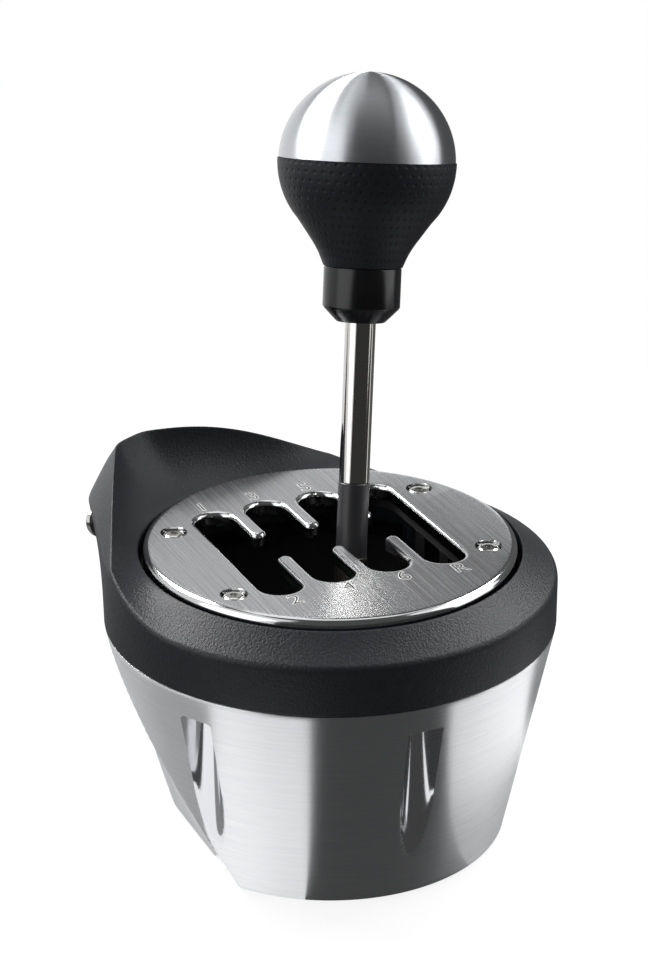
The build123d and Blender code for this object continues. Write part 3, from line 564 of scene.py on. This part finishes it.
def flat_outline(loops, thick, bevel):
    curve = bpy.data.curves.new("outline", "CURVE")
    curve.dimensions, curve.fill_mode = "2D", "BOTH"
    for loop in loops:
        spline = curve.splines.new("POLY")
        spline.points.add(len(loop) - 1)
        for point, (x, y) in zip(spline.points, loop):
            point.co = (x * MM, y * MM, 0, 1)
        spline.use_cyclic_u = True
    curve.extrude = (thick / 2 - bevel) * MM
    curve.bevel_depth, curve.bevel_resolution = bevel * MM, slot_edge_steps
    curve.offset = -bevel * MM
    holder = put_in_scene("outline", curve)
    bm = bmesh.new()
    bm.from_mesh(finished_mesh(holder))
    bpy.data.objects.remove(holder)
    bmesh.ops.remove_doubles(bm, verts=bm.verts, dist=0.005 * MM)
    bmesh.ops.recalc_face_normals(bm, faces=bm.faces)
    return bm


blank_margin = 3
blank = part_circle(0, 0, plate_radius + blank_margin, 0, 360, 128)[:-1]
plate_bm = flat_outline([blank, gate_outline()], plate_thick, slot_edge)
bmesh.ops.translate(plate_bm, vec=(0, 0, -plate_thick / 2 * MM), verts=plate_bm.verts)

# Brushed stainless: grey streaks along the lanes, which draw each glint out
# sideways. The real lines are finer and are drawn at 0.3 mm, so that they
# show.
brushed_steel = brushed("brushed_stainless", ("#909295", "#E6E7E9"), 0.26, 0.30, 60.0, 0.008,
                        0.7, gate_place, "straight")
gate = piece("gate", plate_bm, brushed_steel, "housing", ["gate_plate"], 35)
disc = [(0, 0)] + part_circle(plate_radius - plate_round, -plate_round, plate_round, 90, 0, 8)
disc += [(plate_radius, -plate_thick), (0, -plate_thick)]
carve(gate, turned(disc, steps=192), "INTERSECT")

plate_screw_circle, plate_screw_angles = 46.3, (30, 150, 210, 330)
recess_radius, recess_depth = 4.0, 2.4
recess = bmesh.new()
for angle in plate_screw_angles:
    rod(recess, recess_radius, -recess_depth, recess_depth,
        on_circle(plate_screw_circle, angle), 48)
carve(gate, recess)
gate.data.transform(gate_place)
gate.data.shade_smooth()
gate.data.set_sharp_from_angle(angle=radians(35))
# Buffed stainless: hard bright lines round the rim and every slot.
gate.data.materials.append(grained("polished_stainless", "#C8C9CA", 0.10, 1.0, 1.5, 0.005))
level_normal = 0.97
for face in gate.data.polygons:
    if abs(face.normal.z) < level_normal:
        face.material_index = 1

# Plate screws: M4 button heads, zinc plated and bright, with a hexagon
# socket, four of six places on a circle.
head_radius, head_height, head_slope = 3.7, 2.2, 75
head_flat, head_steps = 0.45, 8
socket_radius, socket_floor = 0.36 * head_radius, 0.4 * head_height
shank_radius, shank_length = 2.0, 15.0


def button_head(bm, place):
    profile = [(0, 0), (head_radius, 0)]
    for i in range(1, head_steps + 1):
        a = radians(i * head_slope / head_steps)
        profile.append((head_radius * (head_flat + (1 - head_flat) * cos(a)),
                        head_height * sin(a) / sin(radians(head_slope))))
    profile.append((0, head_height))
    holder = put_in_scene("head", mesh_from("head", turned(profile, 48)))
    key = bmesh.new()
    rod(key, socket_radius, socket_floor, 2 * head_height - socket_floor, segments=6)
    carve(holder, key)
    rod(bm, shank_radius, -shank_length, 0, place, 24)
    holder.data.transform(place)
    bm.from_mesh(holder.data)
    bpy.data.objects.remove(holder)


# Bright zinc plate: silvery, a mirror with a slight haze.
bright_zinc = grained("bright_zinc_steel", "#CFCFCC", 0.16, 1.0, 0.6, 0.01)
screws = bmesh.new()
for angle in plate_screw_angles:
    button_head(screws, gate_place @ on_circle(plate_screw_circle, angle, -recess_depth))
piece("gate_screws", screws, bright_zinc, "housing", ["plate_screws"], 30)

# Gear marks: numbers and R etched dark into the plate at the end of each
# lane, read from the driver's side.
marks = (("1", 0, 36.6), ("3", 1, 38.2), ("5", 2, 38.2), ("7", 3, 36.6),
         ("2", 0, -33.4), ("4", 1, -31.8), ("6", 2, -31.8), ("R", 3, -33.4))
mark_size, mark_thick = 8.0, 0.02


def lettering(swell, proud):
    mark_bm = bmesh.new()
    for text, column, y in marks:
        curve = bpy.data.curves.new("mark", "FONT")
        curve.body, curve.size, curve.extrude = text, mark_size * MM, mark_thick * MM
        curve.offset = swell * MM
        curve.align_x, curve.align_y = "CENTER", "CENTER"
        holder = put_in_scene("mark", curve)
        mesh = finished_mesh(holder)
        mesh.transform(gate_place @ Matrix.Translation((lane_middle(column) * MM, y * MM,
                                                        proud * MM)))
        mark_bm.from_mesh(mesh)
        bpy.data.objects.remove(holder)
    return mark_bm


# Light line round each mark: a painted highlight for the light that the edge of the etching
# catches.
mark_highlight = grained("painted_mark_highlight", "#F2F2F0", 0.45, 0.85, 0.4, 0.01)
# Etched steel: dark and matt, so that the marks read on the bright plate.
etched = grained("etched_steel_mark", "#161718", 0.6, 0.5, 0.3, 0.02)
# The pale outlines are painted highlight round the marks.
piece("gear_mark_highlights", lettering(0.12, 0.0), mark_highlight, "housing")
piece("gear_marks", lettering(-0.14, 0.02), etched, "housing")

# Lever, holder and sleeve: the nickel plated holder is pressed up from the
# gimbal's hub, the black sleeve slips over the shaft where it meets the gate.
pivot = Vector((-4.8, -8.31384, 28.0))
lean_across, lean_along = radians(7.96), radians(-12)
lever_place = (Matrix.Translation(pivot * MM) @ Matrix.Rotation(gate_turn, 4, "Z")
               @ Matrix.Rotation(lean_across, 4, "Y") @ Matrix.Rotation(lean_along, 4, "X"))
holder_top, sleeve_top = 57.5, 80.0
sleeve_bore, sleeve_radius, sleeve_face, sleeve_edge = 3.05, 4.6, 4.4, 0.3

# Warm nickel plate: yellowish silver, near a mirror.
dress(grained("warm_nickel_plate", "#D8CFC0", 0.18, 1.0, 1.5, 0.01), "lever_holder")
# Black acetal: charcoal, with a waxy soft shine.
acetal = grained("black_acetal_sleeve", "#232326", 0.38, 0.0, 0.5, 0.02)
sleeve = turned([(sleeve_bore, holder_top), (sleeve_face, holder_top),
                 (sleeve_radius, holder_top + sleeve_edge),
                 (sleeve_radius, sleeve_top - sleeve_edge), (sleeve_face, sleeve_top),
                 (sleeve_bore, sleeve_top), (sleeve_bore, holder_top)], 96, lever_place)
piece("sleeve", sleeve, acetal, "lever", ["lever_sleeve"])

# Lever shaft: ground steel bar, buffed and chromed, turned down to a spindle
# in the holder and threaded into the knob.
spindle_radius, spindle_foot = 3.0, 44.0
shaft_radius, shaft_face, shaft_edge, shaft_top = 4.5, 4.3, 0.2, 133.5
thread_radius, thread_top = 3.5, 167.5
# Hard chrome: a near mirror, with narrow dark and light stripes down it.
chrome = grained("chromed_steel_bar", "#CDCBC7", 0.07, 1.0, 3.0, 0.004)
shaft = turned([(0, spindle_foot), (spindle_radius, spindle_foot), (spindle_radius, sleeve_top),
                (shaft_face, sleeve_top), (shaft_radius, sleeve_top + shaft_edge),
                (shaft_radius, shaft_top), (thread_radius, shaft_top),
                (thread_radius, thread_top), (0, thread_top)], 96, lever_place)
piece("shaft", shaft, chrome, "lever", ["lever_shaft"])

# Knob collar: black anodised aluminium, turned, with a chamfer and a fine
# groove, screwed up under the rubber.
collar_low = 127.5
collar_high = collar_low + 16.2
bar_bore, thread_bore, bar_seat = 4.52, 3.52, collar_low + 6
# Black anodising on a turned surface: deep black with tight glints.
anodised = grained("black_anodised_collar", "#0D0E10", 0.22, 0.35, 0.5, 0.008)
collar = turned([(bar_bore, bar_seat), (bar_bore, collar_low), (7.1, collar_low),
                 (7.6, collar_low + 0.4), (11.0, collar_low + 3.9), (11.35, collar_low + 4.5),
                 (11.35, collar_high - 0.6), (11.1, collar_high - 0.1), (10.8, collar_high),
                 (thread_bore, collar_high), (thread_bore, bar_seat), (bar_bore, bar_seat)],
                128, lever_place)
piece("collar", collar, anodised, "lever", ["knob_collar"])

# Knob grip: soft black rubber moulded over a brass insert, a ball that draws
# in to a neck, with rows of fine dimples like perforated leather.
knob_radius, knob_centre = 26.0, 174.0
grip_joint, grip_edge = knob_centre + 0.4, 0.7


def on_ball(angle, radius=knob_radius):
    return radius * cos(radians(angle)), knob_centre + radius * sin(radians(angle))


def smooth_through(points, per):
    result = []
    ends = [points[0]] + list(points) + [points[-1]]
    for i in range(1, len(ends) - 2):
        p0, p1, p2, p3 = (Vector(p) for p in ends[i - 1:i + 3])
        for k in range(per):
            t = k / per
            result.append(tuple(0.5 * ((2 * p1) + (p2 - p0) * t
                                       + (2 * p0 - 5 * p1 + 4 * p2 - p3) * t * t
                                       + (3 * p1 - p0 - 3 * p2 + p3) * t ** 3)))
    return result + [tuple(points[-1])]


neck = [(11.6, collar_high), (12.1, collar_high + 1.2), (13.1, 147.2), (14.7, 150.0),
        (17.2, 153.6)]
ball = [on_ball(a) for a in (-42, -34, -26, -18, -10, -3, 0.6)]

# Perforated rubber: blue-black and low in shine, with staggered rows of dimples, each painted a
# darker colour as painted shade in its hollow. They are worked out round the lever's axis.
dots_round, dot_pitch, dot_depth = 56, 2.5, 0.22
rubber, shader = new_material("perforated_rubber", "#0C0E13", 0.50, Specular_IOR_Level=0.24)
coord = add(rubber, "TexCoord").outputs["Object"]
coord = add(rubber, "Mapping", {"Vector": coord, "Location": tuple(lever_place.translation),
                                "Rotation": tuple(lever_place.to_euler())},
            vector_type="TEXTURE").outputs["Vector"]
split = add(rubber, "SeparateXYZ", {"Vector": coord})
turn = add(rubber, "Math", {0: split.outputs["Y"], 1: split.outputs["X"]}, operation="ARCTAN2")
around = add(rubber, "Math", {0: turn.outputs[0], 1: dots_round / (2 * pi)},
             operation="MULTIPLY")
up = add(rubber, "Math", {0: split.outputs["Z"], 1: 1 / (dot_pitch * MM)},
         operation="MULTIPLY")
row_number = add(rubber, "Math", {0: up.outputs[0]}, operation="FLOOR")
half_step = add(rubber, "Math", {0: row_number.outputs[0], 1: 0.5}, operation="MULTIPLY")
shifted = add(rubber, "Math", {0: around.outputs[0], 1: half_step.outputs[0]},
              operation="ADD")
cell_x = add(rubber, "Math", {0: shifted.outputs[0]}, operation="FRACT")
cell_y = add(rubber, "Math", {0: up.outputs[0]}, operation="FRACT")
cell = add(rubber, "CombineXYZ", {"X": cell_x.outputs[0], "Y": cell_y.outputs[0]})
from_dot = add(rubber, "VectorMath", {0: cell.outputs[0], 1: (0.5, 0.5, 0.0)},
               operation="DISTANCE")
dimple = add(rubber, "MapRange", {"Value": from_dot.outputs["Value"],
                                  "From Min": 0.12, "From Max": 0.26})
dent = add(rubber, "Bump", {"Height": dimple.outputs["Result"],
                            "Distance": dot_depth * MM, "Strength": 0.6})
wire(rubber, dent.outputs["Normal"], shader, "Normal")
# Painted shade: the dimples are coloured darker than the rubber round them.
painted_dimple_shade = add(rubber, "MixRGB", {"Fac": dimple.outputs["Result"], "Color1": linear("#08090C"),
                               "Color2": linear("#0D1016")})
wire(rubber, painted_dimple_shade.outputs["Color"], shader, "Base Color")

grip_rows = [(0, collar_high)] + smooth_through(neck + ball, 6)
grip_rows += [(knob_radius - grip_edge, grip_joint), (0, grip_joint)]
grip = turned(grip_rows, 160, lever_place)
piece("grip", grip, rubber, "lever", ["knob_grip"], 40)
# Turned brass: yellow and bright, on the insert inside the rubber.
dress(grained("turned_brass", "#A88440", 0.3, 1.0, 0.4, 0.01), "knob_insert")

# Knob cap: spun aluminium half ball, brushed in rings round the lever's
# axis, pressed onto the rubber with a fine shadow line between them.
cap_radius, cap_edge = 25.7, 0.5
# Spun aluminium: fine rings that fan each light out into a wedge, the
# wedges meeting at the crown. They are drawn at 0.4 mm, so that they show.
cap_aluminium = brushed("spun_aluminium", ("#B9BCC0", "#D2D4D7"), 0.34, 0.4, 12.0, 0.006,
                        1.0, lever_place)
cap_rows = [(0, grip_joint), (cap_radius - cap_edge, grip_joint)]
cap_rows += [on_ball(a, cap_radius) for a in [1.2] + list(range(4, 90, 3))]
cap_rows += [(0, knob_centre + cap_radius)]
cap = turned(cap_rows, 160, lever_place)
piece("cap", cap, cap_aluminium, "lever", ["knob_cap"], 40)

# Hood bolts: two bright button heads on black washers, in spot faces at the
# back of the hood, into brass thread inserts.
hood_bolt_x, hood_bolt_height, spot_face_radius, spot_face_length = 13.0, 83.0, 5.5, 4.0
bolt_angle = degrees(atan2(rim_form[3], hood_bolt_x))
bolt_wall, bolt_foot = facet_points(bolt_angle)[1:]
bolt_slope = atan2((bolt_wall[0] - bolt_foot[0]) * sin(radians(bolt_angle)),
                   bolt_wall[1] - bolt_foot[1])
bolt_y = (bolt_foot[0] * sin(radians(bolt_angle))
          + tan(bolt_slope) * (hood_bolt_height - casing_top))
spot_faces = bmesh.new()
for x in (-hood_bolt_x, hood_bolt_x):
    rod(spot_faces, spot_face_radius, 0, spot_face_length,
        facing_back(x, bolt_y, hood_bolt_height, bolt_slope), 64)
carve(hood, spot_faces)
dress(bright_zinc, "hood_bolts")
dress(black_oxide, "hood_washers")

# Floor: a sweep of white paper that the camera, metal and glass see as white,
# greyer near the foot, where the object shades it.
white = (1, 1, 1, 1)


def seen_directly(owner):
    path = add(owner, "LightPath")
    seen = add(owner, "Math", {0: path.outputs["Is Camera Ray"],
                               1: path.outputs["Is Glossy Ray"]}, operation="ADD")
    return add(owner, "Math", {0: seen.outputs[0], 1: path.outputs["Is Transmission Ray"]},
               operation="ADD", use_clamp=True).outputs[0]


# White paper: matt and even, with no shine of its own.
paper, shader = new_material("white_paper_sweep", "#F0F0F0", 0.9, Specular_IOR_Level=0.0)
sweep_reach, foot_reach, clear_reach, foot_tone = 3.0, 0.10, 0.45, 0.88
coord = add(paper, "TexCoord")
away = add(paper, "VectorMath", {0: coord.outputs["Object"]}, operation="LENGTH")
fade = add(paper, "MapRange", {"Value": away.outputs["Value"], "From Min": foot_reach,
                               "From Max": clear_reach, "To Min": foot_tone, "To Max": 1.0})
share = add(paper, "Math", {0: seen_directly(paper), 1: fade.outputs["Result"]},
            operation="MULTIPLY")
glow = add(paper, "Emission", {"Color": white, "Strength": 1.0})
mixed = add(paper, "MixShader", {0: share.outputs[0], 1: shader.outputs[0],
                                 2: glow.outputs[0]})
wire(paper, mixed.outputs[0], paper.node_tree.nodes["Material Output"], "Surface")

floor_bm = bmesh.new()
bmesh.ops.create_grid(floor_bm, x_segments=1, y_segments=1, size=sweep_reach)
floor_mesh = mesh_from("floor", floor_bm)
floor_mesh.materials.append(paper)
floor = put_in_scene("floor", floor_mesh)

# Room: plain white walls, seen as white and lighting the object at a low
# even level.
room_level = 0.35
world = bpy.data.worlds.new("studio")
bpy.context.scene.world = world
world.use_nodes = True
backdrop = world.node_tree.nodes["Background"]
backdrop.inputs["Color"].default_value = white
backdrop.inputs["Strength"].default_value = 1.0
room = add(world, "Background", {"Color": white, "Strength": room_level})
blend = add(world, "MixShader", {0: seen_directly(world), 1: room.outputs[0],
                                 2: backdrop.outputs[0]})
wire(world, blend.outputs[0], world.node_tree.nodes["World Output"], "Surface")

# Soft boxes: five lamps round the set, each placed by its turn from the
# camera, to the right of it in the picture, and aimed at the body.
camera_spot = Vector((-0.5998, -0.4307, 0.4264))
camera_turn = degrees(atan2(camera_spot.y, camera_spot.x))
lamp_aim = Vector((0, 0, 0.1))


def soft_box(name, turn, height, distance, width, tall, power):
    angle = radians(camera_turn + turn)
    place = Vector((distance * cos(angle), distance * sin(angle), height))
    data = bpy.data.lights.new(name, "AREA")
    data.shape, data.size, data.size_y, data.energy = "RECTANGLE", width, tall, power
    lamp = put_in_scene(name, data)
    lamp.location = place
    lamp.rotation_euler = (lamp_aim - place).to_track_quat("-Z", "Y").to_euler()


soft_box("left_front_box", -60, 0.75, 1.1, 1.0, 1.5, 5.5)
soft_box("left_back_box", -123, 1.05, 1.1, 0.7, 0.7, 30.0)
soft_box("right_back_box", 125, 1.1, 1.1, 0.8, 0.6, 22.0)
soft_box("right_box", 96, 0.75, 1.1, 1.0, 1.5, 6.5)
soft_box("top_box", 175, 1.3, 0.5, 1.0, 0.8, 3.0)


# Flags and cards: plain cloth and board round the set, out of the camera's
# sight, that give the metal its dark and light bands. They cast no shadow
# and light nothing else.
def flag(name, tone, start, end, profile):
    cloth = bpy.data.materials.new(name)
    cloth.use_nodes = True
    tint = add(cloth, "Emission", {"Color": (tone, tone, tone, 1), "Strength": 1.0})
    wire(cloth, tint.outputs[0], cloth.node_tree.nodes["Material Output"], "Surface")
    bm = bmesh.new()
    first = radians(camera_turn + start)
    verts = [bm.verts.new((r * cos(first), r * sin(first), z)) for r, z in profile]
    edges = [bm.edges.new(pair) for pair in zip(verts, verts[1:])]
    bmesh.ops.spin(bm, geom=verts + edges, axis=(0, 0, 1), cent=(0, 0, 0),
                   angle=radians(end - start), steps=32, use_merge=end - start == 360)
    mesh = mesh_from(name, bm)
    mesh.materials.append(cloth)
    obj = put_in_scene(name, mesh)
    obj.visible_camera = obj.visible_shadow = False
    obj.visible_diffuse = obj.visible_transmission = False


def along_floor(near, far, height=0.0006):
    return [(near, height), (far, height)]


def arch(radius, low, high, step=5):
    return [(radius * cos(radians(a)), radius * sin(radians(a)))
            for a in range(low, high + 1, step)]


# Overhead and in front: the dark band down the casing and the dome.
overhead = arch(1.6, 24, 90, 6)
flag("canopy", 0.10, 0, 360, overhead)
flag("front_flag", 0.045, -32, 76, along_floor(0.20, 1.5) + overhead)
# On the floor at the foot: the lower ends of the casing's bands.
flag("front_foot_flag", 0.06, -8, 52, along_floor(0.02, 0.20))
flag("right_foot_flag", 0.30, 52, 110, along_floor(0.02, 0.085, 0.0005))
flag("left_foot_flag", 0.28, -178, -52, along_floor(0.02, 0.30))
# At the back: the plate's grey, darker to the right.
flag("right_flag", 0.12, 108, 165, along_floor(0.10, 1.45) + [(1.45, 0.65)])
flag("back_card", 0.48, 172, 214, arch(1.45, 20, 60))
flag("right_card", 0.10, 122, 177, [(0.14, 0.139), (0.14, 0.45)])
# White wings: the bright bands on both sides of the casing.
flag("left_wing", 1.0, -102, -32, arch(1.45, 20, 70))
flag("right_wing", 1.0, 76, 114, arch(1.45, 20, 65))
# Dark cloth on the floor: keeps the white floor out of the collar and knob.
flag("floor_cloth", 0.05, -110, 100, along_floor(0.21, 1.2, 0.0004))

# Camera: the photograph's viewpoint, fitted to the gate plate's circle, the
# casing's rim and the lever.
camera_aim = Vector((0.0150, 0.0131, 0.1023))
camera_data = bpy.data.cameras.new("camera")
camera_data.lens, camera_data.sensor_width = 103.8, 36
camera = put_in_scene("camera", camera_data)
camera.location = camera_spot
camera.rotation_euler = (camera_aim - camera_spot).to_track_quat("-Z", "Y").to_euler()
bpy.context.scene.camera = camera
bpy.context.scene.view_settings.view_transform = "Standard"
